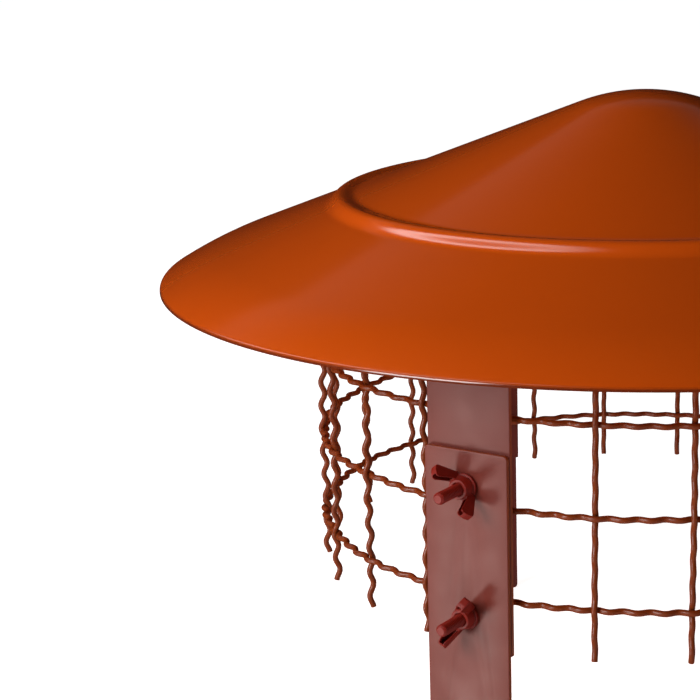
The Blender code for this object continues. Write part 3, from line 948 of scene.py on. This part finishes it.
floor_mesh = bpy.data.meshes.new("floor")
floor_mesh.from_pydata([(x * FLOOR_HALF, y * FLOOR_HALF, 0)
                        for x, y in ((-1, -1), (1, -1), (1, 1), (-1, 1))], [], [(0, 1, 2, 3)])
floor_paint, tree, strength = plain_material("floor_pale", (0.9, 0.9, 0.9), 0.9)
place = joined(tree, "ShaderNodeTexCoord")
from_middle = joined(tree, "ShaderNodeVectorMath", {0: place.outputs["Object"]}, operation='LENGTH')
tree.links.new(ramp(tree, from_middle.outputs["Value"], 0.2, 0.7, 0.8, 1.0), strength)
floor = link_object("floor", floor_mesh, floor_paint)
floor.visible_glossy = False
floor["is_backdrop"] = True

wall_points = [(BACKDROP_RADIUS * cos(2 * pi * i / BACKDROP_SIDES),
                BACKDROP_RADIUS * sin(2 * pi * i / BACKDROP_SIDES), z)
               for z in (-0.01, BACKDROP_HEIGHT) for i in range(BACKDROP_SIDES)]
wall_faces = [(i, after, after + BACKDROP_SIDES, i + BACKDROP_SIDES)
              for i, after in ((i, (i + 1) % BACKDROP_SIDES) for i in range(BACKDROP_SIDES))]
wall_mesh = bpy.data.meshes.new("backdrop")
wall_mesh.from_pydata(wall_points, [], wall_faces)
wall = link_object("backdrop", wall_mesh, plain_material("backdrop_pale", (0, 0, 0), 1.0, 1.0)[0])
wall.visible_diffuse = wall.visible_glossy = wall.visible_shadow = False
wall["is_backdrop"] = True

world = bpy.data.worlds.new("studio")
bpy.context.scene.world = world
world.use_nodes = True
surroundings = world.node_tree.nodes["Background"]
surroundings.inputs["Color"].default_value = (1, 1, 1, 1)
surroundings.inputs["Strength"].default_value = 0.006
print("view transform:", bpy.context.scene.view_settings.view_transform)

# %% [markdown]
# Soft square lamps light the paint. A key in front and a lamp at the side carry the hood, and
# a weak fill keeps the far side from going black. A low lamp in front gives the legs their
# dusty bloom and throws the wing nuts' shadows up to the right. It stands for the glow of a
# bright table, so light linking lets it pass the floor, and gives it to all pieces but the hood.

# %% Lamps
MIDDLE = Vector((0, 0, 0.15))
LEG_MIDDLE = Vector((0, -0.12, 0.09))


def softbox(name, place, aim, size, watts, in_reflections=True):
    light = bpy.data.lights.new(name, 'AREA')
    light.shape = 'SQUARE'
    light.size = size
    light.energy = watts
    obj = link_object(name, light)
    direction = Vector(aim) - Vector(place)
    obj.matrix_world = (Matrix.Translation(place)
                        @ direction.to_track_quat('-Z', 'Y').to_matrix().to_4x4())
    obj.visible_camera = False
    obj.visible_glossy = in_reflections
    return obj


softbox("key_light", (-0.263, -0.807, 0.45), MIDDLE, 0.4, 7.4)
softbox("side_light", (-0.891, -0.454, 0.7), MIDDLE, 0.5, 4.3, in_reflections=False)
softbox("fill_light", (0.8, 0.9, 1.3), MIDDLE, 0.8, 0.6, in_reflections=False)
low_light = softbox("low_light", LEG_MIDDLE + 1.2 * Vector((-0.50, -0.80, -0.35)), LEG_MIDDLE,
                    0.24, 5.4)
low_light.data.color = (1.0, 0.96, 0.9)
shadowed_from_below = bpy.data.collections.new("shadow_from_below")
lit_from_below = bpy.data.collections.new("lit_from_below")
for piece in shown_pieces():
    shadowed_from_below.objects.link(piece)
    if piece != hood:
        lit_from_below.objects.link(piece)
low_light.light_linking.receiver_collection = lit_from_below
low_light.light_linking.blocker_collection = shadowed_from_below
print("lamps:", [light.name for light in bpy.data.lights])

# %% [markdown]
# A glossy coat also shows what stands round it. Two glowing cards are seen in reflections and
# in nothing else: a large dim one overhead at the back, which the hood mirrors as a milky veil
# with a slanting edge, and a slim bright one, which draws the line along the rib. The glow of
# a card is graded, because an evenly lit one would end in hard edges on all sides.

# %% Cards for the reflections
def graded(tree, along, half, grade):
    """The share of the glow along one side of a card, from its place between -half and half"""
    if grade == "middle":
        return ramp(tree, calc(tree, 'ABSOLUTE', along), half, 0.3 * half,
                    interpolation_type='SMOOTHSTEP')
    return ramp(tree, along, -half, half, 1.0 if grade == "even" else 0.0)


def graded_card(name, place, along, facing, half_length, half_width, glow, grades):
    """A card that only shows in reflections; grades says how its length and its width fade"""
    mesh = bpy.data.meshes.new(name)
    mesh.from_pydata([(x * half_length, y * half_width, 0)
                      for x, y in ((-1, -1), (1, -1), (1, 1), (-1, 1))], [], [(0, 1, 2, 3)])
    paint, tree, strength = plain_material(name + "_glow", (0, 0, 0), 1.0)
    spot = joined(tree, "ShaderNodeTexCoord").outputs["Object"]
    parts = joined(tree, "ShaderNodeSeparateXYZ", {0: spot})
    lengthwise = graded(tree, parts.outputs["X"], half_length, grades[0])
    widthwise = graded(tree, parts.outputs["Y"], half_width, grades[1])
    product = calc(tree, 'MULTIPLY', widthwise, calc(tree, 'MULTIPLY', lengthwise, glow))
    tree.links.new(product, strength)
    card = link_object(name, mesh, paint)
    facing = Vector(facing).normalized()
    along = Vector(along)
    along = (along - along.dot(facing) * facing).normalized()
    axes = Matrix((along, facing.cross(along), facing)).transposed().to_4x4()
    card.matrix_world = Matrix.Translation(place) @ axes
    card.visible_camera = card.visible_diffuse = card.visible_shadow = False
    card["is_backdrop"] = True
    return card


away = Vector((-0.615, 0.789, 0))
cards = [
    graded_card("veil_card", away * 1.535 + Vector((0, 0, 1.5)), (away.y, -away.x, 0), (0, 0, 1),
                1.6, 0.485, 0.14, ("even", "far")),
    graded_card("rib_card", (-0.560, -0.200, 0.913), (0.850, -0.359, 0.389),
                (-0.425, -0.027, 0.905), 0.80, 0.085, 5.6, ("middle", "middle"))]
print("cards:", [card.name for card in cards])
